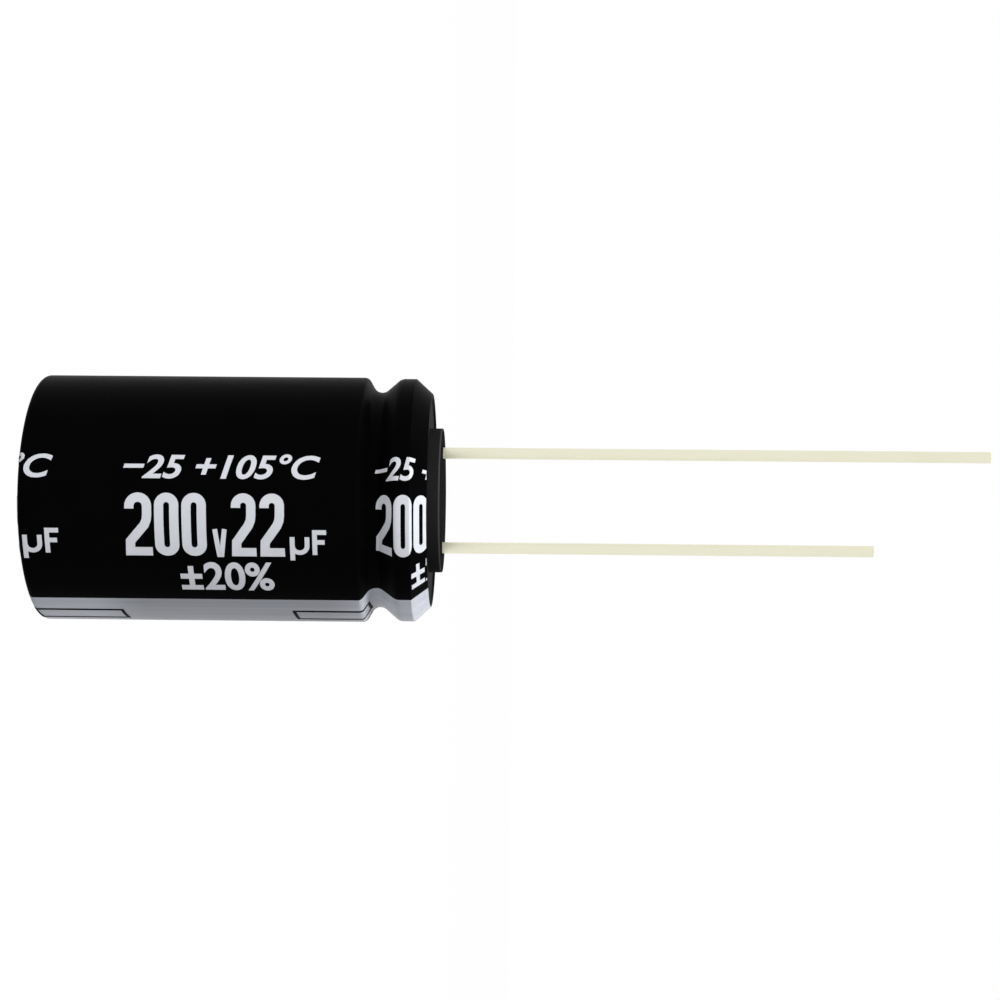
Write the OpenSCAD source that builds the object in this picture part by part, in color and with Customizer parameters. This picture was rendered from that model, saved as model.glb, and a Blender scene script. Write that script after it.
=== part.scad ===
// Radial electrolytic capacitor, millimetres.
// It stands on its closed vent end at z = 0, with both leads pointing up.
// The anode lead is at -X and the cathode lead at +X.

/* [Can] */
// Outer diameter of the bare aluminium can
can_d = 12.5; // [10:0.5:18]
// Height of the bare can, from its closed end to its rolled-in edge
can_len = 20.05; // [16:0.05:32]
// Thickness of the can's side wall
can_wall = 0.3; // [0.2:0.05:0.45]
// Thickness of the can's closed end
can_floor = 0.4; // [0.3:0.05:0.8]
// Outer corner radius of the closed end
can_corner = 0.1; // [0.06:0.02:0.4]
// Inner corner radius of the closed end
can_inner_corner = 0.3; // [0.1:0.05:0.4]

/* [Rolled groove and edge] */
// Depth of the groove that grips the rubber
groove_depth = 0.78; // [0.5:0.02:1]
// Distance from the can's edge down to the middle of the groove
groove_drop = 2.52; // [2.3:0.02:3]
// Radius of the groove's bottom
groove_nose = 0.7; // [0.5:0.05:0.9]
// Slope of the groove's lower flank, from the can's axis
lower_slope = 60; // [45:1:70]
// Slope of the groove's upper flank, from the can's axis
upper_slope = 41; // [35:1:60]
// Radius where the body turns into the groove
lower_round = 0.1; // [0.05:0.05:0.3]
// Radius where the groove turns into the land above it
upper_round = 0.35; // [0.1:0.05:0.5]
// How much smaller in radius the land above the groove is than the body
land_step = 0.05; // [0:0.01:0.15]
// Slope of the rolled-in shoulder, from the can's axis
shoulder_slope = 42.5; // [35:0.5:55]
// Length of the rolled-in shoulder, along its slope
shoulder_len = 1.07; // [0.8:0.01:1.2]
// Radius of the shoulder's two edges
edge_round = 0.05; // [0.02:0.01:0.1]

/* [Vent] */
// Length of each score line across the closed end
vent_len = 7; // [5:0.25:7.5]
// Width of a score line at the surface
vent_w = 0.3; // [0.15:0.05:0.5]
// Depth of a score line
vent_depth = 0.2; // [0.1:0.02:0.25]

/* [Sleeve] */
// Thickness of the shrunk sleeve
sleeve_t = 0.18; // [0.1:0.02:0.3]
// Radius of the opening that the sleeve leaves over the vent
sleeve_mouth_r = 4.4; // [3.8:0.1:4.6]
// Thickness of the printed stripe, let into the sleeve's surface
ink_t = 0.08; // [0.05:0.01:0.09]
// Angle that the stripe covers
stripe_angle = 33; // [20:1:80]
// How far the stripe's middle lies round from the cathode lead
stripe_turn = 20.8; // [0:0.1:40]

/* [Rubber bung] */
// Height of the bung below its flange
bung_h = 4.2; // [4:0.1:5]
// Radius of the boss that stands out of the can
boss_r = 3.8; // [3.5:0.05:3.9]
// Height of the boss above the flange
boss_h = 0.69; // [0.4:0.01:1.2]
// Rounding of the boss's top edge
boss_round = 0.06; // [0.02:0.02:0.15]
// Bevel round the bung's bottom edge
bung_bevel = 0.25; // [0.1:0.05:0.4]
// Width of the bevel round each lead where it leaves the boss
mouth_bevel = 0.12; // [0.05:0.01:0.2]

/* [Leads] */
// Distance between the two leads' centres
lead_pitch = 5; // [4.5:0.1:5.2]
// Diameter of the lead wire
lead_d = 0.6; // [0.5:0.05:0.8]
// Length of the anode lead above the boss
anode_len = 28.8; // [15:0.1:35]
// Length of the cathode lead above the boss
cathode_len = 22.7; // [10:0.1:30]
// Radius of the weld at the foot of each lead
weld_r = 0.5; // [0.45:0.01:0.6]
// Height of that weld
weld_h = 0.3; // [0.2:0.05:0.5]
// How much the butt welding thickens the wire's foot, in radius
foot_swell = 0.03; // [0.01:0.01:0.05]

/* [Terminal tabs] */
// Diameter of the aluminium bar in the bung
bar_d = 1.5; // [1.3:0.05:1.6]
// How far the bar's top lies below the bung's flange
bar_drop = 0.7; // [0.4:0.05:1]
// Thickness of the tab's flat paddle
tab_t = 0.25; // [0.15:0.01:0.3]
// Height over which the bar flattens into the paddle
neck_h = 0.7; // [0.4:0.05:0.8]

/* [Wound element] */
// Radius of the hole that the winding spindle leaves
core_r = 1; // [0.8:0.05:1.2]
// Room between the top of the winding and the bung
headroom = 1.55; // [0.9:0.05:2]
// How far each foil's edges lie inside the paper's edges
foil_inset = 0.8; // [0.4:0.05:1.2]
// Thickness of the anode foil
anode_foil_t = 0.1; // [0.08:0.01:0.12]
// Thickness of the cathode foil
cathode_foil_t = 0.05; // [0.04:0.01:0.08]
// Thickness of each paper strip
paper_t = 0.05; // [0.04:0.01:0.08]
// Thickness of the fixing tape
tape_t = 0.06; // [0.04:0.01:0.1]
// How far the tape's edges lie inside the paper's edges
tape_inset = 1.5; // [1:0.1:4]

/* [Clearances] */
// Gap between pieces that fit over or inside one another
fit_gap = 0.01; // [0.005:0.005:0.02]
// Gap between the layers of the winding
lay_gap = 0.005; // [0.003:0.001:0.01]
// Gap between the winding and the can's wall
element_gap = 0.3; // [0.2:0.05:0.6]

/* [Hidden] */

// Turned pieces have no facets of their own, this only sets how fine they are drawn.
$fn = 96;
// Angle between the points of a rounded edge.
arc_angle = 11;
// Smallest inside radius, where a wall folds round a tight bend.
fold_r = 0.05;

// Case outline
can_r = can_d / 2;
skin = fit_gap + sleeve_t;
floor_z = skin;
edge_z = floor_z + can_len;
land_r = can_r - land_step;
groove_z = edge_z - groove_drop;
nose_centre = [can_r - groove_depth + groove_nose, groove_z];
shoulder_out = [cos(shoulder_slope), sin(shoulder_slope)];
shoulder_up = [-sin(shoulder_slope), cos(shoulder_slope)];
shoulder_foot = [land_r, edge_z - shoulder_len * cos(shoulder_slope)];
can_edge = shoulder_foot + shoulder_len * shoulder_up;
bore_r = can_r - can_wall;

// Bung
flange_z = (can_edge + fit_gap * shoulder_up)[1];
bung_z = flange_z - bung_h;
boss_z = flange_z + boss_h;
bar_top_z = flange_z - bar_drop;
bung_fit = can_wall + fit_gap;

// Leads
lead_r = lead_d / 2;
lead_x = lead_pitch / 2;
bar_r = bar_d / 2;

// Wound element, layers counted outwards from the anode foil
element_z = floor_z + can_floor + fit_gap;
element_top = bung_z - headroom;
paper_h = element_top - element_z;
inner_paper_in = anode_foil_t + lay_gap;
cathode_foil_in = inner_paper_in + paper_t + lay_gap;
outer_paper_in = cathode_foil_in + cathode_foil_t + lay_gap;
winding_pitch = outer_paper_in + paper_t + lay_gap;
tab_room = tab_t + lay_gap;

// The winding is drawn with straight runs of this angle.
run_angle = 15;
// The papers start before the foils and end after them, and the cathode foil ends after the anode foil.
foil_start_angle = 180;
anode_end_angle = 360;
cathode_end_angle = 90;
// The tape covers the papers' ends, short of one turn.
tape_angle = 345;
// A paddle covers three runs, and the layers over it come back down in three more on each side.
tab_half_angle = 1.5 * run_angle;
tab_fade_angle = 3 * run_angle;
winding_turns = (bore_r - element_gap - core_r - tab_room - tape_t - winding_pitch) / winding_pitch;
first_turn = run_angle / 2;
last_turn = first_turn + run_angle * floor(winding_turns * 360 / run_angle);
foil_start = first_turn + foil_start_angle;
anode_foil_end = last_turn - anode_end_angle;
cathode_foil_end = last_turn - cathode_end_angle;
tape_end = last_turn + tape_angle;

// Each tab: the direction it faces, the foil layer that it lies on and the turn where it was laid in.
function laid_in(facing, slot) =
    facing + 360 * round((lead_x - core_r - slot - tab_t / 2) / winding_pitch - facing / 360);
cathode_lay = laid_in(0, outer_paper_in);
anode_lay = laid_in(180, inner_paper_in);
tabs = [[0, outer_paper_in, cathode_lay], [180, inner_paper_in, anode_lay]];

// Rounded corner at p between the points a and b.
function unit(v) = v / norm(v);
function corner(a, p, b, r) =
    let (
        u = unit(a - p),
        v = unit(b - p),
        half = acos(u * v) / 2,
        centre = p + unit(u + v) * r / sin(half),
        from = p + u * r / tan(half) - centre,
        start = atan2(from[1], from[0]),
        turn = (180 - 2 * half) * sign(cross(v, u)),
        steps = max(2, ceil(abs(turn) / arc_angle))
    )
    [for (i = [0:steps]) centre + r * [cos(start + turn * i / steps), sin(start + turn * i / steps)]];

// Outline of the case, shifted outwards by off from the bare can's surface, in (radius, height).
function corner_at(off) = [can_r + off, floor_z - off];
function lower_tangent(off) = nose_centre - (groove_nose - off) * [cos(lower_slope), sin(lower_slope)];
function upper_tangent(off) = nose_centre - (groove_nose - off) * [cos(upper_slope), -sin(upper_slope)];
function lower_lip(off) =
    let (t = lower_tangent(off), r = can_r + off)
    [r, t[1] - (r - t[0]) / tan(lower_slope)];
function upper_lip(off) =
    let (t = upper_tangent(off), r = land_r + off)
    [r, t[1] + (r - t[0]) / tan(upper_slope)];
function shoulder_edge(off) = shoulder_foot + off * [1, tan(shoulder_slope / 2)];
function rim(off) = can_edge + off * shoulder_out;
function bend(r, off) = max(r + off, fold_r);

function groove_arc(off) =
    let (start = 180 + lower_slope, turn = -(lower_slope + upper_slope), steps = ceil(-turn / arc_angle))
    [for (i = [0:steps])
        nose_centre + (groove_nose - off) * [cos(start + turn * i / steps), sin(start + turn * i / steps)]];

// From the body up to the rolled-in edge.
function upper_line(off) = concat(
    corner(corner_at(off), lower_lip(off), lower_tangent(off), bend(lower_round, off)),
    groove_arc(off),
    corner(upper_tangent(off), upper_lip(off), shoulder_edge(off), bend(upper_round, off)),
    corner(upper_lip(off), shoulder_edge(off), rim(off), edge_round),
    [rim(off)]
);

// From the closed end, at the radius from_r, up to the rolled-in edge.
function case_line(off, from_r, round_r) = concat(
    [[from_r, floor_z - off]],
    corner([0, floor_z - off], corner_at(off), lower_lip(off), round_r),
    upper_line(off)
);

function reversed(path) = [for (i = [len(path) - 1:-1:0]) path[i]];

// Section of a layer over the case, between two distances from the bare can's surface.
module shell(inner_off, outer_off, from_r, inner_round, outer_round) {
    polygon(concat(
        case_line(outer_off, from_r, outer_round),
        reversed(case_line(inner_off, from_r, inner_round))
    ));
}

// The sector of the sleeve that the stripe takes up, with its children turned through it.
module stripe_sector() {
    rotate([0, 0, -stripe_turn - stripe_angle / 2])
    rotate_extrude(angle = stripe_angle)
    children();
}

// Shrunk sleeve, lapped over the closed end and ending at the rolled-in edge.
module sleeve() {
    bed = skin - ink_t - lay_gap;
    spill = 1;
    color([0.03, 0.03, 0.035])
    difference() {
        rotate_extrude()
        shell(fit_gap, skin, sleeve_mouth_r, can_corner + fit_gap, can_corner + skin);
        stripe_sector()
        polygon(concat(
            [[sleeve_mouth_r - spill, -spill]],
            case_line(bed, sleeve_mouth_r - spill, can_corner + bed),
            [rim(bed) + spill * shoulder_up, [can_r + skin + spill, edge_z + spill], [can_r + skin + spill, -spill]]
        ));
    }
}

// Printed band that marks the cathode side, over the whole height of the sleeve.
module polarity_stripe() {
    color([0.62, 0.64, 0.69])
    stripe_sector()
    shell(skin - ink_t, skin, sleeve_mouth_r, can_corner + skin - ink_t, can_corner + skin);
}

// One V-shaped score line across the closed end.
module score_line() {
    spill = 0.1;
    half_w = vent_w / 2 * (vent_depth + spill) / vent_depth;
    rotate([90, 0, 90])
    translate([0, 0, -vent_len / 2])
    linear_extrude(vent_len)
    polygon([[-half_w, floor_z - spill], [half_w, floor_z - spill], [0, floor_z + vent_depth]]);
}

module can() {
    inner_floor = floor_z + can_floor;
    color([0.78, 0.79, 0.8])
    difference() {
        rotate_extrude()
        polygon(concat(
            case_line(0, 0, can_corner),
            reversed(upper_line(-can_wall)),
            corner([bore_r, edge_z], [bore_r, inner_floor], [0, inner_floor], can_inner_corner),
            [[0, inner_floor]]
        ));
        score_line();
        rotate([0, 0, 90]) score_line();
    }
}

// Passage through the bung for one terminal: bar, weld and lead, opened at the boss's face.
module terminal_passage() {
    spill = 1;
    rotate_extrude()
    polygon([
        [0, bung_z - spill],
        [bar_r + fit_gap, bung_z - spill],
        [bar_r + fit_gap, bar_top_z + fit_gap],
        [weld_r + fit_gap, bar_top_z + fit_gap],
        [lead_r + foot_swell + fit_gap, bar_top_z + weld_h + fit_gap],
        [lead_r + fit_gap, boss_z - mouth_bevel],
        [lead_r + fit_gap + mouth_bevel + spill, boss_z + spill],
        [0, boss_z + spill]
    ]);
}

module bung() {
    seat_r = can_r - bung_fit;
    lap = can_edge + fit_gap * shoulder_up;
    color([0.16, 0.16, 0.165])
    difference() {
        rotate_extrude()
        polygon(concat(
            [[0, bung_z], [seat_r - bung_bevel, bung_z], [seat_r, bung_z + bung_bevel]],
            upper_line(-bung_fit),
            [rim(-bung_fit) + fit_gap * shoulder_up, lap, [boss_r, flange_z]],
            corner([boss_r, flange_z], [boss_r, boss_z], [0, boss_z], boss_round),
            [[0, boss_z]]
        ));
        for (side = [-1, 1])
            translate([side * lead_x, 0, 0]) terminal_passage();
    }
}

// Straight wire with the weld at its foot, a little thicker towards the weld inside the rubber.
module lead(side, above) {
    color([0.9, 0.89, 0.82])
    translate([side * lead_x, 0, 0])
    rotate_extrude()
    polygon([
        [0, bar_top_z],
        [weld_r, bar_top_z],
        [lead_r + foot_swell, bar_top_z + weld_h],
        [lead_r, boss_z],
        [lead_r, boss_z + above],
        [0, boss_z + above]
    ]);
}

module anode_lead() {
    lead(-1, anode_len);
}

module cathode_lead() {
    lead(1, cathode_len);
}

// How far a layer is pushed out by the tabs that lie under it, at this turn of the winding.
function tab_push(turn, depth) =
    let (pushes = [for (t = tabs)
        let (
            miss = (turn - t[0] + 180) % 360 - 180,
            crossing = turn - miss,
            over = winding_pitch * (crossing - t[2]) / 360 + depth - t[1] > -lay_gap / 2,
            ease = abs(miss) <= tab_half_angle ? 1
                : abs(miss) >= tab_half_angle + tab_fade_angle ? 0
                : (1 + cos(180 * (abs(miss) - tab_half_angle) / tab_fade_angle)) / 2
        )
        over ? tab_room * ease : 0])
    pushes[0] + pushes[1];

function layer_point(turn, depth, push) =
    (core_r + winding_pitch * turn / 360 + depth + push) * [cos(turn), sin(turn)];

// Plan of one wound strip, between two turns of the winding.
module strip_plan(from, to, depth, thick) {
    polygon(concat(
        [for (turn = [from:run_angle:to + 1]) layer_point(turn, depth, tab_push(turn, depth))],
        [for (turn = [to:-run_angle:from - 1]) layer_point(turn, depth + thick, tab_push(turn, depth))]
    ));
}

module strip(from, to, depth, thick, inset) {
    translate([0, 0, element_z + inset])
    linear_extrude(paper_h - 2 * inset)
    strip_plan(from, to, depth, thick);
}

module anode_foil() {
    color([0.6, 0.61, 0.62]) strip(foil_start, anode_foil_end, 0, anode_foil_t, foil_inset);
}

module cathode_foil() {
    color([0.72, 0.73, 0.74])
    strip(foil_start, cathode_foil_end, cathode_foil_in, cathode_foil_t, foil_inset);
}

module inner_separator() {
    color([0.86, 0.8, 0.66]) strip(first_turn, last_turn, inner_paper_in, paper_t, 0);
}

module outer_separator() {
    color([0.88, 0.82, 0.68]) strip(first_turn, last_turn, outer_paper_in, paper_t, 0);
}

module fixing_tape() {
    color([0.85, 0.72, 0.35]) strip(last_turn + run_angle, tape_end, 0, tape_t, tape_inset);
}

// Tab: a paddle laid in the winding, a neck and a round bar up through the bung.
module tab(side, slot, lay) {
    neck_z = element_top + fit_gap;
    bar_z = neck_z + neck_h;
    flat_in = (core_r + winding_pitch * lay / 360 + slot) * cos(run_angle / 2);
    flat_out = flat_in + tab_t;
    color([0.75, 0.76, 0.77])
    union() {
        translate([0, 0, element_z + 2 * foil_inset])
        linear_extrude(neck_z + neck_h / 4 - element_z - 2 * foil_inset)
        polygon(concat(
            [for (turn = [-tab_half_angle:run_angle:tab_half_angle + 1]) layer_point(lay + turn, slot, 0)],
            [for (turn = [tab_half_angle:-run_angle:-tab_half_angle - 1]) layer_point(lay + turn, slot + tab_t, 0)]
        ));
        intersection() {
            translate([side * lead_x, 0, neck_z])
            cylinder(r = bar_r, h = bar_top_z - neck_z);
            rotate([90, 0, 0])
            translate([0, 0, -bar_d])
            linear_extrude(2 * bar_d)
            polygon([
                [side * flat_in, neck_z],
                [side * flat_out, neck_z],
                [side * (lead_x + bar_d), bar_z],
                [side * (lead_x + bar_d), boss_z],
                [side * (lead_x - bar_d), boss_z],
                [side * (lead_x - bar_d), bar_z]
            ]);
        }
    }
}

module anode_tab() {
    tab(-1, inner_paper_in, anode_lay);
}

module cathode_tab() {
    tab(1, outer_paper_in, cathode_lay);
}

sleeve();
polarity_stripe();
can();
bung();
anode_lead();
cathode_lead();
anode_tab();
cathode_tab();
anode_foil();
cathode_foil();
inner_separator();
outer_separator();
fixing_tape();
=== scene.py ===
import collections
import math

import bpy
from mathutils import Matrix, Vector


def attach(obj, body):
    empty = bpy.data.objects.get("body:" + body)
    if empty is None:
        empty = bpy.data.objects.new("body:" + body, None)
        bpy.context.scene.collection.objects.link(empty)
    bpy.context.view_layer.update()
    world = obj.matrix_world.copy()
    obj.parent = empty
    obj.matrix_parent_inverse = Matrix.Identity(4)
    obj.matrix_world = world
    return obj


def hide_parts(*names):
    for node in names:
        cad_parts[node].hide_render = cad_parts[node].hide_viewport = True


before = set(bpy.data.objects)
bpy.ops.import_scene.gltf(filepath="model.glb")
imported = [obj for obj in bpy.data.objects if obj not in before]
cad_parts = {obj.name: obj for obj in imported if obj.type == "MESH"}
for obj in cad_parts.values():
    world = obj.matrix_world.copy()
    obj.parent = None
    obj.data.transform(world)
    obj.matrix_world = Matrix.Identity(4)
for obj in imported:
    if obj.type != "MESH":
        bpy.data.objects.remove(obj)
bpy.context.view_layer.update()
mm = 0.001
scene = bpy.context.scene
print("frame loaded:", len(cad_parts), "nodes")

# The photograph's camera. Places are in mm from the lens: right, down, away.
camera = {
    "focalLength": 69.5,
    "sensor": 36.0,
    "foot": (-23.80, -0.16, 102.28),
    "footHeight": 0.145,  # how far up the case's axis that foot point lies
    "leadsPoint": (0.99985, 0.00887, -0.01460),
    "nearest": 0.005,  # metres
    "farthest": 10.0,
}


def makeCamera():
    leads = Vector(camera["leadsPoint"]).normalized()
    downwards = Vector((0, 1, 0))
    across = (downwards - downwards.dot(leads) * leads).normalized()
    deep = leads.cross(across)
    origin = Vector(camera["foot"]) - camera["footHeight"] * leads
    place = Vector((-origin.dot(across), -origin.dot(deep), -origin.dot(leads))) * mm
    data = bpy.data.cameras.new("photoCamera")
    data.sensor_width = camera["sensor"]
    data.lens = camera["focalLength"]
    data.clip_start = camera["nearest"]
    data.clip_end = camera["farthest"]
    made = bpy.data.objects.new("photoCamera", data)
    scene.collection.objects.link(made)
    turn = made.matrix_world.copy()
    for row, axis in enumerate((across, deep, leads)):
        turn[row][0] = axis[0]
        turn[row][1] = -axis[1]
        turn[row][2] = -axis[2]
        turn[row][3] = place[row]
    made.matrix_world = turn
    scene.camera = made


makeCamera()


# Shader sums written as Python sums: a wire is one socket of a material's tree. The first wire of a tree
# has no socket and only adds nodes.
class Wire:
    def __init__(self, tree, socket=None):
        self.tree = tree
        self.socket = socket

    def node(self, kind, settings=None, sockets=None, output=0):
        made = self.tree.nodes.new("ShaderNode" + kind)
        for name, value in (settings or {}).items():
            setattr(made, name, value)
        for name, value in (sockets or {}).items():
            if isinstance(value, Wire):
                self.tree.links.new(value.socket, made.inputs[name])
            else:
                made.inputs[name].default_value = value
        return Wire(self.tree, made.outputs[output] if made.outputs else None)

    def maths(self, operation, first, second):
        return self.node("Math", {"operation": operation}, {0: first, 1: second})

    def __add__(self, other):
        return self.maths("ADD", self, other)

    def __radd__(self, other):
        return self.maths("ADD", other, self)

    def __sub__(self, other):
        return self.maths("SUBTRACT", self, other)

    def __rsub__(self, other):
        return self.maths("SUBTRACT", other, self)

    def __mul__(self, other):
        return self.maths("MULTIPLY", self, other)

    def __rmul__(self, other):
        return self.maths("MULTIPLY", other, self)


def newFinish(name):
    made = bpy.data.materials.new(name)
    made.use_nodes = True
    made.node_tree.nodes.clear()
    return made, Wire(made.node_tree)


def places(start, stretch=(1, 1, 1)):
    return start.node("Mapping", sockets={
        "Vector": start.node("TexCoord", output="Object"), "Scale": stretch})


# Scales are in cells per metre, and a stretch below 1 draws the cells out that way.
def noise(start, scale, detail, roughness, stretch=(1, 1, 1)):
    return start.node("TexNoise", sockets={
        "Vector": places(start, stretch), "Scale": scale, "Detail": detail, "Roughness": roughness})


def heightOf(start):
    return start.node("SeparateXYZ", sockets={"Vector": start.node("TexCoord", output="Object")}, output="Z")


def above(start, height):
    return start.maths("GREATER_THAN", heightOf(start), height)


# Rises softly from 0 to 1 as the height passes edge, or falls there if way is -1.
def heightStep(start, edge, fade, way=1):
    return start.node("MapRange", {"interpolation_type": "SMOOTHSTEP"}, {
        "Value": way * (heightOf(start) - edge), "From Min": -fade, "From Max": fade})


# Each of the two colours is a plain one or a wire.
def blendColours(start, mask, first, second):
    first, second = [colour if isinstance(colour, Wire) else (*colour, 1) for colour in (first, second)]
    return start.node("Mix", {"data_type": "RGBA"}, {0: mask, 6: first, 7: second}, output=2)


def bump(start, height, depth):
    return start.node("Bump", sockets={"Height": height, "Distance": depth, "Strength": 1.0})


def shade(start, sockets):
    shader = start.node("BsdfPrincipled", sockets=sockets)
    start.node("OutputMaterial", sockets={"Surface": shader})


# Black shrunk plastic: drawn-out streaks along the tube and a faint unevenness.
def sleevePlastic():
    made, start = newFinish("sleevePlastic")
    streaks = noise(start, scale=5200, detail=4, roughness=0.6, stretch=(1, 1, 0.03))
    patches = noise(start, scale=420, detail=3, roughness=0.55)
    shade(start, {
        "Base Color": blendColours(start, patches, (0.0006, 0.0006, 0.0008), (0.0013, 0.0013, 0.0016)),
        "Roughness": 0.3 + 0.12 * patches + 0.06 * streaks,
        "Specular IOR Level": 0.007,
        "Normal": bump(start, 0.6 * patches + 0.4 * streaks, depth=0.000004),
    })
    return made


# Silver-grey ink of the figures, with a slightly grainy cover.
def printInk():
    made, start = newFinish("printInk")
    grain = noise(start, scale=16000, detail=2, roughness=0.6)
    patches = noise(start, scale=1500, detail=3, roughness=0.5)
    cover = 0.5 * patches + 0.5 * grain
    shade(start, {
        "Base Color": blendColours(start, cover, (0.53, 0.545, 0.59), (0.65, 0.665, 0.71)),
        "Roughness": 0.4 + 0.16 * grain,
        "Specular IOR Level": 0.2,
        "Normal": bump(start, grain, depth=0.000003),
    })
    return made


# Painted light: the stripe's colour is painted lighter below the first of two heights and above the second,
# in metres, towards the stripe's two ends.
stripeFinish = {
    "paintedLightBelow": 0.0045,
    "paintedLightAbove": 0.0165,
    "fade": 0.0015,
    "paintedLightShare": 0.55,  # how much of the cover the painted light at the ends adds, where the rest comes from the bands
    "contrast": (0.35, 0.65),  # the stretch of the bands' noise that is spread over the whole cover
}


# The same ink as the wide stripe, drawn out in faint bands along the sleeve, with painted light that makes it
# lighter towards both ends.
def stripeInk():
    made, start = newFinish("stripeInk")
    bands = noise(start, scale=900, detail=4, roughness=0.65, stretch=(1, 1, 0.01))
    streaks = noise(start, scale=5000, detail=4, roughness=0.6, stretch=(1, 1, 0.02))
    grain = noise(start, scale=16000, detail=2, roughness=0.6)
    # Painted light: 1 towards the stripe's two ends, where the colour is painted lighter.
    ends = (heightStep(start, stripeFinish["paintedLightBelow"], stripeFinish["fade"], way=-1)
            + heightStep(start, stripeFinish["paintedLightAbove"], stripeFinish["fade"]))
    uneven = start.node("MapRange", sockets={
        "Value": 0.6 * bands + 0.3 * streaks + 0.1 * grain,
        "From Min": stripeFinish["contrast"][0], "From Max": stripeFinish["contrast"][1]})
    # The cover holds the ink's bands and the painted light at the stripe's ends.
    cover = (1 - stripeFinish["paintedLightShare"]) * uneven + stripeFinish["paintedLightShare"] * ends
    shade(start, {
        "Base Color": blendColours(start, cover, (0.27, 0.283, 0.315), (0.60, 0.62, 0.69)),
        "Roughness": 0.38 + 0.16 * grain,
        "Specular IOR Level": 0.2,
        "Normal": bump(start, 0.5 * grain + 0.5 * streaks, depth=0.000003),
    })
    return made


# Heights in metres from which the seal shows a painted highlight on the edge of its boss and then painted
# shade on its end face.
sealFinish = {"edgeHeight": 0.02084, "endHeight": 0.02092}


# Moulded rubber: dull, with a fine skin of grains, a painted highlight in a thin band round the boss's edge,
# and painted shade darkening the boss's end face.
def sealRubber():
    made, start = newFinish("sealRubber")
    grain = noise(start, scale=9000, detail=4, roughness=0.65)
    patches = noise(start, scale=700, detail=3, roughness=0.5)
    rubber = blendColours(start, patches, (0.011, 0.011, 0.0115), (0.019, 0.019, 0.0195))
    # Painted highlight: a lighter band on the boss's rounded edge, between edgeHeight and endHeight.
    paintedEdgeHighlight = blendColours(start, grain, (0.04, 0.04, 0.041), (0.07, 0.07, 0.071))
    # Painted shade: the boss's end face coloured darker than the rest of the rubber.
    paintedShadeEnd = blendColours(start, patches, (0.002, 0.002, 0.0021), (0.0035, 0.0035, 0.0037))
    endFace = above(start, sealFinish["endHeight"])
    side = blendColours(start, above(start, sealFinish["edgeHeight"]), rubber, paintedEdgeHighlight)
    shade(start, {
        "Base Color": blendColours(start, endFace, side, paintedShadeEnd),
        "Roughness": 0.6 + 0.2 * grain + 0.2 * endFace,
        "Specular IOR Level": 0.005,
        "Normal": bump(start, 0.7 * grain + 0.3 * patches, depth=0.00001),
    })
    return made


# Tin-plated wire: satin, with drawing marks along it.
def tinnedWire():
    made, start = newFinish("tinnedWire")
    draws = noise(start, scale=9000, detail=4, roughness=0.65, stretch=(1, 1, 0.015))
    patches = noise(start, scale=900, detail=3, roughness=0.5, stretch=(1, 1, 0.3))
    shade(start, {
        "Base Color": blendColours(start, patches, (0.80, 0.785, 0.61), (0.87, 0.85, 0.68)),
        "Metallic": 1.0,
        "Roughness": 0.3 + 0.14 * draws,
        "Normal": bump(start, 0.8 * draws + 0.2 * patches, depth=0.000002),
    })
    return made


# Drawn aluminium: bright, with fine rings left by the tool.
def canAluminium():
    made, start = newFinish("canAluminium")
    rings = start.node("TexWave", {"wave_type": "RINGS", "rings_direction": "Z"}, {
        "Vector": places(start), "Scale": 2600, "Distortion": 1.5, "Detail": 3, "Detail Scale": 2}, output=1)
    patches = noise(start, scale=800, detail=4, roughness=0.6)
    shade(start, {
        "Base Color": blendColours(start, patches, (0.70, 0.71, 0.72), (0.82, 0.83, 0.84)),
        "Metallic": 1.0,
        "Roughness": 0.26 + 0.16 * patches,
        "Normal": bump(start, 0.5 * rings + 0.5 * patches, depth=0.000003),
    })
    return made


# The metals inside, each mottled between two tones: the pressed tabs, the dull etched foil, the plain foil.
innerMetals = {
    "tab_aluminium": {
        "name": "tabAluminium",
        "tones": ((0.62, 0.63, 0.64), (0.76, 0.77, 0.78)),
        "roughness": 0.3,
        "scale": 2500,
        "depth": 0.000003,
    },
    "etched_foil": {
        "name": "etchedFoil",
        "tones": ((0.34, 0.35, 0.36), (0.48, 0.49, 0.50)),
        "roughness": 0.6,
        "scale": 9000,
        "depth": 0.000006,
    },
    "plain_foil": {
        "name": "plainFoil",
        "tones": ((0.60, 0.61, 0.62), (0.72, 0.73, 0.74)),
        "roughness": 0.35,
        "scale": 3500,
        "depth": 0.000003,
    },
}


def innerMetal(kind):
    made, start = newFinish(kind["name"])
    mottle = noise(start, scale=kind["scale"], detail=4, roughness=0.65)
    shade(start, {
        "Base Color": blendColours(start, mottle, *kind["tones"]),
        "Metallic": 1.0,
        "Roughness": kind["roughness"] + 0.15 * mottle,
        "Normal": bump(start, mottle, kind["depth"]),
    })
    return made


# Soaked paper: fibres lying mostly round the winding.
def separatorPaper():
    made, start = newFinish("separatorPaper")
    fibres = noise(start, scale=5000, detail=5, roughness=0.7, stretch=(1, 1, 2.5))
    blotches = noise(start, scale=500, detail=3, roughness=0.5)
    soaked = 0.5 * fibres + 0.5 * blotches
    shade(start, {
        "Base Color": blendColours(start, soaked, (0.62, 0.52, 0.34), (0.84, 0.77, 0.60)),
        "Roughness": 0.7 + 0.2 * fibres,
        "Normal": bump(start, fibres, depth=0.000008),
    })
    return made


# Amber film, slightly rippled along the winding.
def tapeFilm():
    made, start = newFinish("tapeFilm")
    ripple = noise(start, scale=1800, detail=3, roughness=0.5, stretch=(1, 1, 0.2))
    shade(start, {
        "Base Color": blendColours(start, ripple, (0.60, 0.40, 0.10), (0.74, 0.54, 0.18)),
        "Roughness": 0.25 + 0.15 * ripple,
        "Normal": bump(start, ripple, depth=0.000004),
    })
    return made


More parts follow.
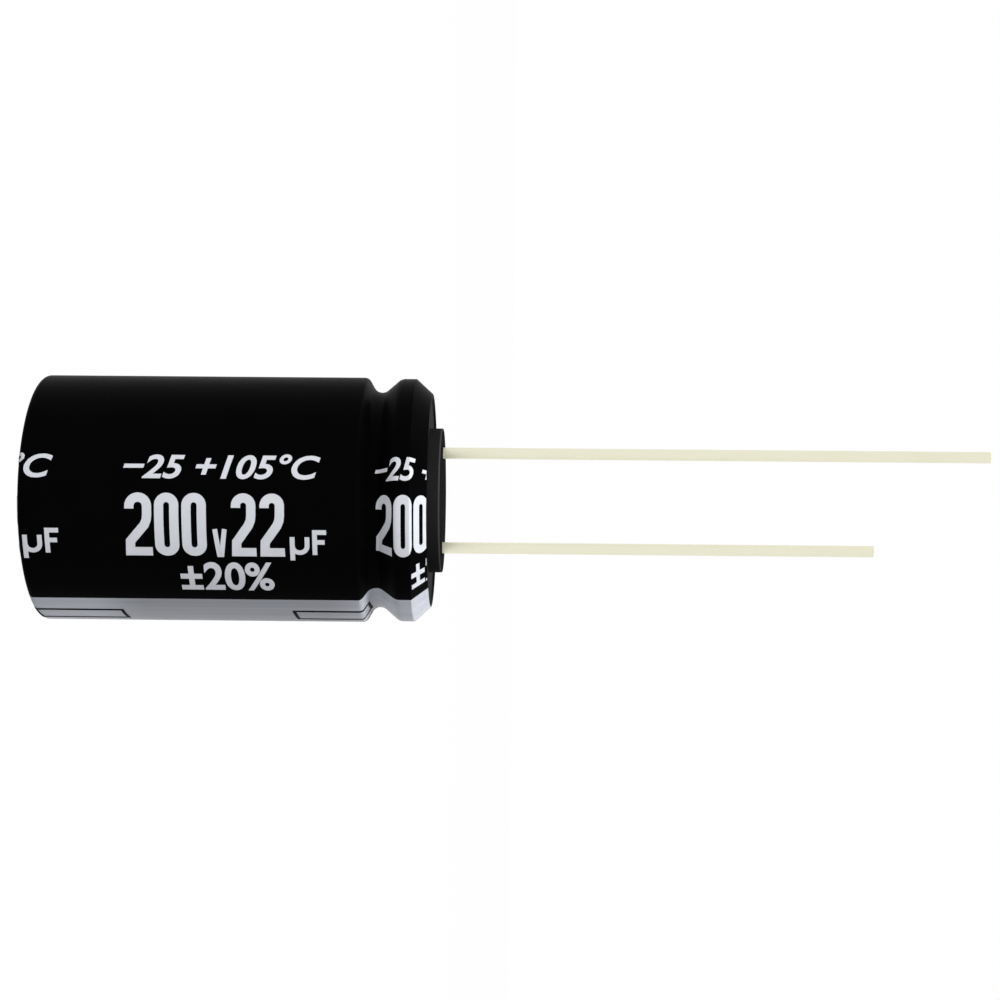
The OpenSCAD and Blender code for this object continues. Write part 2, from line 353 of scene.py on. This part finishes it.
finishes = {
    "sleeve_plastic": sleevePlastic(),
    "stripe_ink": stripeInk(),
    "printInk": printInk(),
    "can_aluminium": canAluminium(),
    "seal_rubber": sealRubber(),
    "tinned_wire": tinnedWire(),
    "separator_paper": separatorPaper(),
    "tape_film": tapeFilm(),
}
finishes.update({slot: innerMetal(kind) for slot, kind in innerMetals.items()})
print("finishes:", len(finishes))

# The case as in the drawing, in mm, with slopes in degrees from the axis. Its outline is shifted outwards
# for the sleeve and inwards for the rubber.
case = {
    "radius": 6.25,
    "length": 20.05,
    "wall": 0.3,
    "floor": 0.4,
    "corner": 0.1,
    "innerCorner": 0.3,
    "grooveDepth": 0.78,
    "grooveDrop": 2.52,  # from the rolled-in edge down to the groove's middle
    "grooveNose": 0.7,  # radius of the groove's bottom
    "lowerSlope": 60,
    "upperSlope": 41,
    "lowerRound": 0.1,
    "upperRound": 0.35,
    "landStep": 0.05,  # how much less the radius is above the groove
    "shoulderSlope": 42.5,
    "shoulderLength": 1.07,
    "edgeRound": 0.05,
    "foldRound": 0.05,  # the least radius of a fold
    "gap": 0.01,
    "arcStep": 6,  # degrees
}
sleeve = {"thickness": 0.18, "mouth": 4.4, "segments": 240}
stripe = {
    "thickness": 0.08,
    "angle": 33,  # degrees of the sleeve's round that it covers
    "turn": 20.8,  # from the short lead's side towards the front, to the stripe's middle
    "gap": 0.005,
}
skin = case["gap"] + sleeve["thickness"]
edgeHeight = skin + case["length"]
landRadius = case["radius"] - case["landStep"]
noseCentre = Vector((
    case["radius"] - case["grooveDepth"] + case["grooveNose"], edgeHeight - case["grooveDrop"]))


def polar(angle, length=1.0):
    return Vector((math.cos(math.radians(angle)), math.sin(math.radians(angle)))) * length


shoulderOut = polar(case["shoulderSlope"])
shoulderUp = polar(case["shoulderSlope"] + 90)
shoulderFoot = Vector((landRadius, edgeHeight - case["shoulderLength"] * shoulderUp.y))
canEdge = shoulderFoot + case["shoulderLength"] * shoulderUp


# A rounded corner at p between the points a and b, as a list of points.
def corner(a, p, b, radius):
    toA, toB = (a - p).normalized(), (b - p).normalized()
    half = toA.angle(toB) / 2
    centre = p + (toA + toB).normalized() * radius / math.sin(half)
    first = p + toA * radius / math.tan(half) - centre
    start = math.degrees(math.atan2(first.y, first.x))
    turn = (180 - 2 * math.degrees(half)) * math.copysign(1, toB.x * toA.y - toB.y * toA.x)
    spare = 0.01  # so that rounding never adds a step
    steps = max(2, math.ceil(abs(turn) / case["arcStep"] - spare))
    return [centre + polar(start + turn * i / steps, radius) for i in range(steps + 1)]


# Where a slope of the groove meets the round bottom: way is 1 on the lower side and -1 on the upper.
def tangent(off, slope, way):
    return noseCentre - polar(way * slope, case["grooveNose"] - off)


# From the body up to the rolled-in edge, shifted outwards by off from the bare can.
def upperLine(off):
    low, high = tangent(off, case["lowerSlope"], 1), tangent(off, case["upperSlope"], -1)
    body, land = case["radius"] + off, landRadius + off
    base = Vector((body, skin - off))
    lowLip = Vector((body, low.y - (body - low.x) / math.tan(math.radians(case["lowerSlope"]))))
    highLip = Vector((land, high.y + (land - high.x) / math.tan(math.radians(case["upperSlope"]))))
    shoulder = shoulderFoot + off * Vector((1, math.tan(math.radians(case["shoulderSlope"] / 2))))
    rim = canEdge + off * shoulderOut
    turn = case["lowerSlope"] + case["upperSlope"]
    steps = math.ceil(turn / case["arcStep"])
    nose = [noseCentre + polar(180 + case["lowerSlope"] - turn * i / steps, case["grooveNose"] - off)
            for i in range(steps + 1)]
    return (
        corner(base, lowLip, low, max(case["lowerRound"] + off, case["foldRound"]))
        + nose
        + corner(high, highLip, shoulder, max(case["upperRound"] + off, case["foldRound"]))
        + corner(highLip, shoulder, rim, case["edgeRound"])
        + [rim]
    )


# From the closed end, at the radius fromRadius, round the corner and up to the rolled-in edge.
def caseLine(off, fromRadius, cornerRound):
    low = skin - off
    upper = upperLine(off)
    return [Vector((fromRadius, low))] + corner(
        Vector((0, low)), Vector((case["radius"] + off, low)), upper[0], cornerRound) + upper


def sleeveLine(off):
    return caseLine(off, sleeve["mouth"], case["corner"] + off)


# Distances in metres below which two points, or a point and a plane, are taken as one.
tolerance = {"loopEnd": 1e-8, "cut": 1e-7, "spun": 2e-7, "joined": 5e-7}
# Edges below these angles, in degrees, are shaded smooth.
smooth = {"body": 28, "print": 30}


def deselectAll():
    for piece in bpy.context.selected_objects:
        piece.select_set(False)


# Selects these pieces and makes the first of them the active one.
def pick(*pieces):
    deselectAll()
    for piece in pieces:
        piece.select_set(True)
    bpy.context.view_layer.objects.active = pieces[0]


# Selects in code, by place, and goes into edit mode with that selection.
def editWhere(piece, kind, test):
    pick(piece)
    mesh = piece.data
    for group in (mesh.vertices, mesh.edges, mesh.polygons):
        group.foreach_set("select", [False] * len(group))
    bpy.context.tool_settings.mesh_select_mode = (kind == "vertices", kind == "edges", kind == "polygons")
    for element in getattr(mesh, kind):
        element.select = bool(test(element))
    bpy.ops.object.mode_set(mode="EDIT")


def editAll(piece):
    editWhere(piece, "vertices", lambda v: True)


# Leaves edit mode with all faces pointing outwards.
def leaveEdit():
    bpy.ops.mesh.select_mode(type="VERT")
    bpy.ops.mesh.select_all(action="SELECT")
    bpy.ops.mesh.normals_make_consistent(inside=False)
    bpy.ops.object.mode_set(mode="OBJECT")


def faceOutwards(piece):
    editAll(piece)
    leaveEdit()


# A square of 1 mm, left in edit mode and all selected, to be shaped further.
def startSquare(height=0.0):
    deselectAll()
    bpy.ops.mesh.primitive_plane_add(size=mm, location=(0, 0, height))
    bpy.ops.object.mode_set(mode="EDIT")
    bpy.ops.mesh.select_mode(type="VERT")
    bpy.ops.mesh.select_all(action="SELECT")
    return bpy.context.object


# Draws a line through these places by extruding one vertex, and joins its ends if it is a loop.
def drawLine(name, spots, loop):
    piece = startSquare()
    piece.name = name
    bpy.ops.mesh.merge(type="CENTER")
    bpy.ops.transform.translate(value=spots[0])
    for last, spot in zip(spots, spots[1:]):
        bpy.ops.mesh.extrude_vertices_move(TRANSFORM_OT_translate={"value": spot - last})
    bpy.ops.object.mode_set(mode="OBJECT")
    if loop:
        ends = (spots[0], spots[-1])
        near = tolerance["loopEnd"]
        editWhere(piece, "vertices", lambda v: min((v.co - end).length for end in ends) < near)
        bpy.ops.mesh.edge_face_add()
        bpy.ops.object.mode_set(mode="OBJECT")
    return piece


# An outline of (radius, height) points, standing in the plane at this turn round the axis.
def drawOutline(name, points, turn=0, loop=False):
    around = polar(turn).to_3d()
    return drawLine(name, [(around * p[0] + Vector((0, 0, p[1]))) * mm for p in points], loop)


def spinOutline(piece, turn, steps):
    editAll(piece)
    bpy.ops.mesh.spin(steps=steps, angle=-math.radians(turn), center=(0, 0, 0), axis=(0, 0, 1), dupli=False)
    bpy.ops.mesh.select_all(action="SELECT")
    bpy.ops.mesh.remove_doubles(threshold=tolerance["spun"])
    leaveEdit()


# Joins the faces that lie level, so that a cut through them leaves a clean edge.
def joinLevelFaces(piece):
    upright, levelAngle = 0.9999, math.radians(0.2)
    editWhere(piece, "polygons", lambda face: abs(face.normal.z) > upright)
    bpy.ops.mesh.dissolve_limited(angle_limit=levelAngle)
    leaveEdit()


def applyModifier(piece, kind, settings):
    pick(piece)
    modifier = piece.modifiers.new(kind.lower(), kind)
    for name, value in settings.items():
        setattr(modifier, name, value)
    bpy.ops.object.modifier_apply(modifier=modifier.name)


def cutAway(piece, cutter):
    applyModifier(piece, "BOOLEAN", {"operation": "DIFFERENCE", "solver": "EXACT", "object": cutter})
    bpy.data.objects.remove(cutter)


def joinPieces(pieces):
    pick(*pieces)
    bpy.ops.object.join()
    return pieces[0]


# Fixes the piece's place in its mesh, gives it its finish and hides the node it stands for.
def finishPiece(piece, slot, node=None, finish=None, smoothAngle=smooth["body"]):
    pick(piece)
    bpy.ops.object.transform_apply(location=True, rotation=True, scale=True)
    bpy.ops.object.shade_smooth_by_angle(angle=math.radians(smoothAngle))
    piece.data.materials.clear()
    piece.data.materials.append(finishes[finish or slot])
    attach(piece, "root")
    if node:
        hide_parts(node)
    deselectAll()
    print("piece:", piece.name, len(piece.data.polygons), "faces")


# The sleeve: its plain section goes round all but the stripe, and under that it is cut back for the ink.
stripeStart = -stripe["turn"] - stripe["angle"] / 2
stripeEnd = stripeStart + stripe["angle"]
stripeSteps = round(stripe["angle"] / 360 * sleeve["segments"])
bedOff = skin - stripe["thickness"] - stripe["gap"]


# Fills the open wall between the two sections, in the plane at this turn.
def closeStep(piece, turn):
    sides = collections.Counter(key for face in piece.data.polygons for key in face.edge_keys)
    across = polar(turn + 90).to_3d()
    flat = {v.index for v in piece.data.vertices if abs(v.co.dot(across)) < tolerance["cut"]}
    editWhere(piece, "edges", lambda edge: sides[edge.key] == 1 and flat.issuperset(edge.key))
    bpy.ops.mesh.fill(use_beauty=True)
    leaveEdit()


def makeSleeve():
    inner = sleeveLine(case["gap"])[::-1]
    bed = sleeveLine(bedOff)
    around = drawOutline(
        "shrunkSleeve", [bed[0]] + sleeveLine(skin) + [bed[-1]] + inner, turn=stripeEnd, loop=True)
    spinOutline(around, 360 - stripe["angle"], sleeve["segments"] - stripeSteps)
    under = drawOutline("sleeveUnderStripe", bed + inner, turn=stripeStart, loop=True)
    spinOutline(under, stripe["angle"], stripeSteps)
    joinPieces([around, under])
    editAll(around)
    bpy.ops.mesh.remove_doubles(threshold=tolerance["joined"])
    bpy.ops.object.mode_set(mode="OBJECT")
    for turn in (stripeStart, stripeEnd):
        closeStep(around, turn)
    finishPiece(around, "sleeve_plastic", "sleeve")


def makeStripe():
    sheet = drawOutline("printedStripe", sleeveLine(skin), turn=stripeStart)
    spinOutline(sheet, stripe["angle"], stripeSteps)
    body = max(sheet.data.polygons, key=lambda face: face.area)
    if body.normal.dot(Vector((body.center.x, body.center.y, 0))) < 0:
        sheet.data.flip_normals()
    applyModifier(sheet, "SOLIDIFY", {
        "thickness": stripe["thickness"] * mm, "offset": -1, "use_even_offset": True, "use_rim": True})
    faceOutwards(sheet)
    finishPiece(sheet, "stripe_ink", "polarity_stripe")


makeSleeve()
makeStripe()

# The can, with the cross of pressed score lines in its closed end.
vent = {
    "length": 7.0,
    "width": 0.3,
    "depth": 0.2,
    "taper": 0.97,  # length of a line's bottom, as a share of its mouth
    "spill": 0.1,  # how far its cutter stands out of the can
}


# A wedge with its sharp edge upwards, lying along x or y.
def scoreCutter(along):
    reach = vent["depth"] + vent["spill"]
    mouth = vent["width"] * reach / vent["depth"]
    size, taper = (vent["length"], mouth, 1), (vent["taper"], 0, 1)
    if along == "y":
        size, taper = (mouth, vent["length"], 1), (0, vent["taper"], 1)
    cutter = startSquare((skin - vent["spill"]) * mm)
    bpy.ops.transform.resize(value=size)
    bpy.ops.mesh.extrude_region_move(TRANSFORM_OT_translate={"value": (0, 0, reach * mm)})
    bpy.ops.transform.resize(value=taper)
    bpy.ops.mesh.select_all(action="SELECT")
    bpy.ops.mesh.remove_doubles(threshold=tolerance["cut"])
    leaveEdit()
    return cutter


def makeCan():
    innerFloor = skin + case["floor"]
    bore = case["radius"] - case["wall"]
    floorCorner = corner(
        Vector((bore, edgeHeight)), Vector((bore, innerFloor)), Vector((0, innerFloor)), case["innerCorner"])
    outside, inside = caseLine(0, 0, case["corner"]), upperLine(-case["wall"])[::-1]
    can = drawOutline("drawnCan", outside + inside + floorCorner + [Vector((0, innerFloor))])
    spinOutline(can, 360, sleeve["segments"])
    joinLevelFaces(can)
    for along in "xy":
        cutAway(can, scoreCutter(along))
    finishPiece(can, "can_aluminium", "can")


makeCan()

# The rubber seal, with a passage for each terminal that opens in a small funnel at the boss's face.
seal = {
    "height": 4.2,
    "bossRadius": 3.8,
    "bossHeight": 0.69,
    "bossRound": 0.06,
    "bevel": 0.25,
    "funnel": 0.12,
    "spill": 1.0,  # how far the cutter of a passage stands out of the seal
}
wire = {
    "pitch": 5.0,
    "diameter": 0.6,
    "anodeLength": 28.8,
    "cathodeLength": 22.7,
    "weldRadius": 0.5,
    "weldHeight": 0.3,
    "footSwell": 0.03,
    "barDiameter": 1.5,
    "barDrop": 0.7,
    "segments": 48,
    "tipBevel": 0.03,
}
sealLap = canEdge + case["gap"] * shoulderUp
flange = sealLap.y
sealFoot = flange - seal["height"]
bossTop = flange + seal["bossHeight"]
barTop = flange - wire["barDrop"]


def sealOutline():
    fit = case["wall"] + case["gap"]
    seat, bevel = case["radius"] - fit, seal["bevel"]
    bossFoot, bossEdge = Vector((seal["bossRadius"], flange)), Vector((seal["bossRadius"], bossTop))
    middle = Vector((0, bossTop))
    return (
        [Vector((0, sealFoot)), Vector((seat - bevel, sealFoot)), Vector((seat, sealFoot + bevel))]
        + upperLine(-fit)
        + [sealLap - fit * shoulderOut, sealLap, bossFoot]
        + corner(bossFoot, bossEdge, middle, seal["bossRound"])
        + [middle]
    )


def passageOutline():
    gap, spill = case["gap"], seal["spill"]
    bar, hole = wire["barDiameter"] / 2 + gap, wire["diameter"] / 2 + gap
    return (
        (0, sealFoot - spill),
        (bar, sealFoot - spill),
        (bar, barTop + gap),
        (wire["weldRadius"] + gap, barTop + gap),
        (hole + wire["footSwell"], barTop + wire["weldHeight"] + gap),
        (hole, bossTop - seal["funnel"]),
        (hole + seal["funnel"] + spill, bossTop + spill),
        (0, bossTop + spill),
    )


def makeSeal():
    piece = drawOutline("rubberSeal", sealOutline())
    spinOutline(piece, 360, sleeve["segments"])
    joinLevelFaces(piece)
    for side in (-1, 1):
        passage = drawOutline("passage", passageOutline())
        spinOutline(passage, 360, wire["segments"])
        passage.location.x = side * wire["pitch"] / 2 * mm
        cutAway(piece, passage)
    finishPiece(piece, "seal_rubber", "bung")


def makeWire(name, node, side, length):
    radius = wire["diameter"] / 2
    tip = bossTop + length
    cut = wire["tipBevel"]
    piece = drawOutline(name, (
        (0, barTop),
        (wire["weldRadius"], barTop),
        (radius + wire["footSwell"], barTop + wire["weldHeight"]),
        (radius, bossTop),
        (radius, tip - cut),
        (radius - cut / 3, tip - cut / 3),
        (radius - cut, tip),
        (0, tip),
    ))
    spinOutline(piece, 360, wire["segments"])
    piece.location.x = side * wire["pitch"] / 2 * mm
    finishPiece(piece, "tinned_wire", node)


makeSeal()
makeWire("longWire", "anode_lead", -1, wire["anodeLength"])
makeWire("shortWire", "cathode_lead", 1, wire["cathodeLength"])

# The inner parts keep their own shapes and get a finish each.
innerParts = {
    "anode_tab": "tab_aluminium",
    "cathode_tab": "tab_aluminium",
    "anode_foil": "etched_foil",
    "cathode_foil": "plain_foil",
    "inner_separator": "separator_paper",
    "outer_separator": "separator_paper",
    "fixing_tape": "tape_film",
}
for node, slot in innerParts.items():
    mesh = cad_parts[node].data
    mesh.materials.clear()
    mesh.materials.append(finishes[slot])
print("inner parts:", len(innerParts))

# Print on the sleeve, in mm. It is drawn flat, with x up the sleeve and y towards the top of the letters from
# the front line, and then laid round the sleeve.
marking = {
    "thickness": 0.012,
    "lift": 0.004,
    "copies": ((-13.35, 1.0), (13.99, 0.78)),  # shift up the sleeve, and how far it is drawn together there
    "margin": 0.05,  # bare sleeve left at its two edges
    "cutEvery": 0.25,
    "arcSteps": 12,
    "curveSteps": 6,  # in the curves of the built-in letters
}
inkBottom = sleeveLine(skin + marking["lift"])
inkTop = sleeveLine(skin + marking["lift"] + marking["thickness"])
bodyRadius = case["radius"] + skin


# Distances along the sleeve's outline, set so that on the straight body they are the heights.
def outlineDistances(points):
    total, found = 0.0, [0.0]
    for last, point in zip(points, points[1:]):
        total += (point - last).length
        found.append(total)
    longest = max(range(1, len(points)), key=lambda i: found[i] - found[i - 1])
    shift = points[longest].y - found[longest]
    return [distance + shift for distance in found]


distances = outlineDistances(sleeveLine(skin))


# The place on the ink's top or bottom at a distance up the sleeve and one round it from the front line.
def onSleeve(up, across, points):
    i = 0
    while i < len(distances) - 2 and up > distances[i + 1]:
        i += 1
    share = (up - distances[i]) / (distances[i + 1] - distances[i])
    spot = points[i].lerp(points[i + 1], share)
    turn = -math.pi / 2 + across / bodyRadius
    return Vector((spot.x * math.cos(turn), spot.x * math.sin(turn), spot.y)) * mm


# A stroke of this width along a flat centre line.
def drawStroke(points, width, loop=False):
    piece = drawLine("stroke", [Vector((p[0], p[1], 0)) * mm for p in points], loop)
    editAll(piece)
    bpy.ops.mesh.extrude_edges_move(TRANSFORM_OT_translate={"value": (0, 0, marking["thickness"] * mm)})
    leaveEdit()
    applyModifier(piece, "SOLIDIFY", {"thickness": width * mm, "offset": 0, "use_even_offset": True})
    faceOutwards(piece)
    return piece


def arcPoints(x, y, radius, start, turn):
    steps = marking["arcSteps"]
    return [Vector((x, y)) + polar(start + turn * i / steps, radius) for i in range(steps + 1)]


# Figures and letters in a box from (left, foot) of this width and height, drawn with one stroke width. The
# bare numbers in them are shares of the box, the stroke or the radius.
def nought(left, foot, width, height, stroke):
    radius = (width - stroke) / 2
    middle = left + width / 2
    high, low = foot + height - stroke / 2 - radius, foot + stroke / 2 + radius
    line = arcPoints(middle, high, radius, 0, 180) + arcPoints(middle, low, radius, 180, 180)
    return [drawStroke(line, stroke, loop=True)]


def two(left, foot, width, height, stroke):
    radius = (width - stroke) / 2
    right = left + width
    high = foot + height - stroke / 2 - radius
    line = [(left + stroke / 2, high - 0.3 * radius)]
    line += arcPoints(left + width / 2, high, radius, 180, -180)
    line += [
        (right - 0.5 * stroke, foot + 0.66 * height),
        (right - 0.56 * stroke, foot + 0.58 * height),
        (right - 0.8 * stroke, foot + 0.5 * height),
        (left + 0.56 * stroke, foot + 0.24 * height),
        (left + 0.5 * stroke, foot + 0.5 * stroke),
        (right, foot + 0.5 * stroke),
    ]
    return [drawStroke(line, stroke)]


def voltLetter(left, foot, width, height, stroke):
    middle, half, right = left + width / 2, 0.25 * stroke, left + width
    return [drawStroke((
        (left + stroke / 2, foot + height),
        (middle - half, foot + stroke / 2),
        (middle + half, foot + stroke / 2),
        (right - stroke / 2, foot + height),
    ), stroke)]


def microLetter(left, foot, width, height, stroke):
    radius = (width - stroke) / 2
    low, top = foot + stroke / 2 + radius, foot + 0.72 * height
    start, end = left + stroke / 2, left + width - stroke / 2
    bowl = [(start, top)] + arcPoints(left + width / 2, low, radius, 180, 180) + [(end, top)]
    tail = [(start, low), (start, foot - 0.24 * height)]
    return [drawStroke(bowl, stroke), drawStroke(tail, stroke)]


def faradLetter(left, foot, width, height, stroke):
    stem = [(left + stroke / 2, foot), (left + stroke / 2, foot + height)]
    arms = [[(left + 0.9 * stroke, foot + y), (left + x, foot + y)]
            for x, y in ((width, height - stroke / 2), (0.88 * width, 0.52 * height))]
    return [drawStroke(line, stroke) for line in [stem] + arms]


# Words in the plain built-in letters, fitted to a box.
def smallWords(text, left, foot, width, height, slant, weight):
    deselectAll()
    bpy.ops.object.text_add(location=(0, 0, 0))
    piece = bpy.context.object
    piece.data.body = text
    piece.data.shear = slant
    piece.data.offset = weight
    piece.data.resolution_u = marking["curveSteps"]
    bpy.ops.object.convert(target="MESH")
    xs = [v.co.x for v in piece.data.vertices]
    ys = [v.co.y for v in piece.data.vertices]
    scale = Vector((width * mm / (max(xs) - min(xs)), height * mm / (max(ys) - min(ys)), 1))
    editAll(piece)
    bpy.ops.transform.resize(value=scale, center_override=(0, 0, 0))
    bpy.ops.transform.translate(value=(left * mm - min(xs) * scale.x, foot * mm - min(ys) * scale.y, 0))
    bpy.ops.mesh.remove_doubles(threshold=tolerance["cut"])
    bpy.ops.object.mode_set(mode="OBJECT")
    applyModifier(piece, "SOLIDIFY", {"thickness": marking["thickness"] * mm, "offset": 1})
    faceOutwards(piece)
    return [piece]


# Cuts the flat drawing short at the sleeve's two edges.
def trimToSleeve(piece):
    editAll(piece)
    low, high = distances[0] + marking["margin"], distances[-1] - marking["margin"]
    for up, keepAbove in ((low, True), (high, False)):
        bpy.ops.mesh.select_all(action="SELECT")
        bpy.ops.mesh.bisect(
            plane_co=(up * mm, 0, 0), plane_no=(1, 0, 0), threshold=tolerance["cut"],
            use_fill=True, clear_inner=keepAbove, clear_outer=not keepAbove)
    bpy.ops.object.mode_set(mode="OBJECT")


# Creases the flat drawing where the sleeve bends, and often enough across it to go round.
def creaseForSleeve(piece):
    xs = [v.co.x / mm for v in piece.data.vertices]
    ys = [v.co.y / mm for v in piece.data.vertices]
    count = math.ceil((max(ys) - min(ys)) / marking["cutEvery"])
    step = (max(ys) - min(ys)) / count
    creases = [((d * mm, 0, 0), (1, 0, 0)) for d in distances if min(xs) < d < max(xs)]
    creases += [((0, (min(ys) + (i + 0.5) * step) * mm, 0), (0, 1, 0)) for i in range(count)]
    editAll(piece)
    for place, facing in creases:
        bpy.ops.mesh.select_all(action="SELECT")
        bpy.ops.mesh.bisect(plane_co=place, plane_no=facing, threshold=tolerance["cut"])
    bpy.ops.object.mode_set(mode="OBJECT")


def wrapOnSleeve(piece):
    trimToSleeve(piece)
    creaseForSleeve(piece)
    for v in piece.data.vertices:
        points = inkTop if v.co.z > marking["thickness"] * mm / 2 else inkBottom
        v.co = onSleeve(v.co.x / mm, -v.co.y / mm, points)
    faceOutwards(piece)


# The pattern repeats up the sleeve, so that whole and cut copies of it show as on a sleeve cut from the roll.
def repeatUp(piece):
    copies = [piece]
    for shift, squeeze in marking["copies"]:
        twin = piece.copy()
        twin.data = piece.data.copy()
        scene.collection.objects.link(twin)
        twin.location.x = shift * mm
        twin.scale.x = squeeze
        copies.append(twin)
    joined = joinPieces(copies)
    bpy.ops.object.transform_apply(location=True, rotation=True, scale=True)
    return joined


# What the print says. A letter is what draws it, its left edge and its width, and slant and weight are the
# built-in letters' shear and added thickness.
words = (
    {"text": "−25 +105°C", "left": 5.3, "foot": 0.97, "width": 9.8, "height": 1.3,
     "slant": 0.25, "weight": 0.022},
    {"text": "±20%", "left": 8.0, "foot": -5.15, "width": 4.7, "height": 1.83,
     "slant": 0, "weight": 0.024},
)
rating = (
    {"foot": -2.97, "height": 3.24, "stroke": 0.46, "letters": (
        (two, 5.4, 1.34), (nought, 6.88, 1.21), (nought, 8.24, 1.22),
        (two, 10.7, 1.22), (two, 12.12, 1.22))},
    {"foot": -3.02, "height": 1.49, "stroke": 0.24, "letters": (
        (voltLetter, 9.76, 0.72),)},
    {"foot": -2.86, "height": 1.32, "stroke": 0.24, "letters": (
        (microLetter, 13.6, 0.98), (faradLetter, 14.72, 0.7))},
)


def makeMarking():
    pieces = []
    for line in words:
        pieces += smallWords(**line)
    for line in rating:
        for letter, left, width in line["letters"]:
            pieces += letter(left, line["foot"], width, line["height"], line["stroke"])
    joined = repeatUp(joinPieces(pieces))
    joined.name = "ratingPrint"
    wrapOnSleeve(joined)
    finishPiece(joined, "stripe_ink", finish="printInk", smoothAngle=smooth["print"])


makeMarking()

# The two hollow bars in the stripe, where the black sleeve shows through the ink.
bars = {
    "spans": ((0.1, 4.75), (13.45, 17.7)),
    "slant": 0.15,
    "line": 0.17,
    "from": 14.5,  # degrees from the short lead's side towards the front
    "to": 27.3,
}


# A flat frame from low to high up the sleeve, with slanted ends.
def makeBar(low, high):
    top = bodyRadius * math.radians(90 - bars["to"])
    foot = bodyRadius * math.radians(90 - bars["from"])
    piece = startSquare()
    bpy.ops.transform.resize(value=(high - low, foot - top, 1))
    bpy.ops.transform.translate(value=((high + low) / 2 * mm, -(foot + top) / 2 * mm, 0))
    bpy.ops.mesh.inset(thickness=bars["line"] * mm, depth=0)
    bpy.ops.mesh.delete(type="FACE")
    bpy.ops.object.mode_set(mode="OBJECT")
    for v in piece.data.vertices:
        v.co.x -= (v.co.y / mm + (foot + top) / 2) / (foot - top) * bars["slant"] * mm
    applyModifier(piece, "SOLIDIFY", {"thickness": marking["thickness"] * mm, "offset": 1})
    return piece


def makeBars():
    joined = joinPieces([makeBar(low, high) for low, high in bars["spans"]])
    joined.name = "stripeBars"
    wrapOnSleeve(joined)
    finishPiece(joined, "sleeve_plastic", smoothAngle=smooth["print"])


makeBars()

# Floor and light: a plain white studio with soft lamps. A level is the light on a surface facing the lamp.
# Only the lamp behind shows in gloss, where it draws the groove and the edges of the black case.
studio = {
    "floor": 3.0,  # metres from its middle to its sides
    "floorLevel": -0.02,  # mm, so that the print on the sleeve's lap clears it
    "floorColour": (0.30, 0.30, 0.30),
    "floorGlow": 0.95,  # how much of what is seen of the floor is plain white
    "glowStrength": 1.04,
    "worldLight": 0.12,
    "worldShown": 1.0,
    "lampDistance": 0.5,  # metres from the target, as in the lamps' sizes
    "lampTarget": (0, 0, 0.015),
}
lamps = {
    "key": {"from": (-0.57, -0.82, 0.12), "size": 0.3, "level": 0.83, "inGloss": False},
    "stripeFill": {"from": (0.98, 0.17, 0.1), "size": 0.3, "level": 0.18, "inGloss": False},
    "overLeads": {"from": (0.0, -0.35, 1.0), "size": 0.2, "level": 0.98, "inGloss": False},
    "behind": {"from": (0.0, 0.5, 0.87), "size": 0.25, "level": 0.55, "inGloss": True},
}


# 1 for a ray of the picture itself, straight, in gloss or through glass, and 0 for one that lights the part.
def inPicture(start):
    seen = start.node("LightPath", output="Is Camera Ray")
    for name in ("Is Glossy Ray", "Is Transmission Ray"):
        seen = start.maths("MAXIMUM", seen, start.node("LightPath", output=name))
    return seen


def makeFloor():
    bpy.ops.mesh.primitive_plane_add(size=2 * studio["floor"], location=(0, 0, studio["floorLevel"] * mm))
    bpy.ops.object.transform_apply(location=True, rotation=True, scale=True)
    floor = bpy.context.object
    floor.name = "studioFloor"
    made, start = newFinish("studioFloor")
    plain = start.node("BsdfDiffuse", sockets={"Color": (*studio["floorColour"], 1)})
    glow = start.node("Emission", sockets={"Color": (1, 1, 1, 1), "Strength": studio["glowStrength"]})
    shown = start.node("MixShader", sockets={0: inPicture(start) * studio["floorGlow"], 1: plain, 2: glow})
    start.node("OutputMaterial", sockets={"Surface": shown})
    floor.data.materials.append(made)
    deselectAll()


def makeWorld():
    world = bpy.data.worlds.new("studioWorld")
    world.use_nodes = True
    world.node_tree.nodes.clear()
    start = Wire(world.node_tree)
    strength = studio["worldLight"] + (studio["worldShown"] - studio["worldLight"]) * inPicture(start)
    light = start.node("Background", sockets={"Color": (1, 1, 1, 1), "Strength": strength})
    start.node("OutputWorld", sockets={"Surface": light})
    scene.world = world


def makeLamp(name, kind):
    direction = Vector(kind["from"]).normalized()
    data = bpy.data.lights.new(name, "AREA")
    data.shape = "DISK"
    data.size = kind["size"]
    data.energy = kind["level"] * math.pi ** 2 * studio["lampDistance"] ** 2
    made = bpy.data.objects.new(name, data)
    made.location = direction * studio["lampDistance"] + Vector(studio["lampTarget"])
    made.rotation_euler = direction.to_track_quat("Z", "Y").to_euler()
    made.visible_glossy = kind["inGloss"]
    scene.collection.objects.link(made)


makeFloor()
makeWorld()
for name, kind in lamps.items():
    makeLamp(name, kind)
scene.view_settings.view_transform = "Standard"
print("studio: floor and", len(lamps), "lamps")
